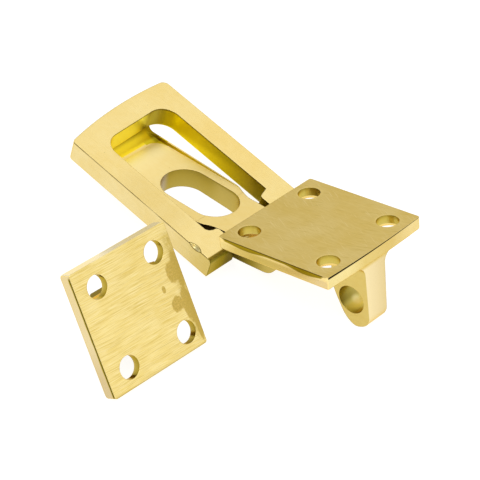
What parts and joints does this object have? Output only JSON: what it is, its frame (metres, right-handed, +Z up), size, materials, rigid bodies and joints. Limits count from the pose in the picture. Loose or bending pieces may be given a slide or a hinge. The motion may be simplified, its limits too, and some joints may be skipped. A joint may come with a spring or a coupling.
{
  "type": "anti-rattle latch",
  "caption": "Cast brass surface latch: square plate with padlock staple, slotted folding lever carrying a swinging bail frame, and a separate keeper plate with a hook for the bail.",
  "frame": {"origin": "middle of the underside of the whole set as it lies open on a flat surface", "axes": "+X along the latch from the bail to the staple, +Y across it away from the loose keeper, +Z up"},
  "size_m": [0.0796, 0.0732, 0.0244],
  "materials": {
    "polished_brass": "polished cast brass, satin",
    "brushed_brass": "linear brushed brass on the fixing face"
  },
  "bodies": {
    "base": {"base_plate": "brushed_brass", "hinge_pin": "polished_brass", "keeper_plate": "brushed_brass"},
    "lever": {"lever": "polished_brass"},
    "bail": {"bail_frame": "polished_brass", "bail_pin": "polished_brass"}
  },
  "joints": [
    {"name": "lever_hinge", "type": "hinge", "parent": "base", "child": "lever", "pos_m": [0.01251, 0.02079, 0.00626], "axis": [0, -1, 0], "range_deg": [0, 178]},
    {"name": "bail_pivot", "type": "hinge", "parent": "lever", "child": "bail", "pos_m": [0.00105, 0.02079, 0.00418], "axis": [0, 1, 0], "range_deg": [0, 95]}
  ]
}
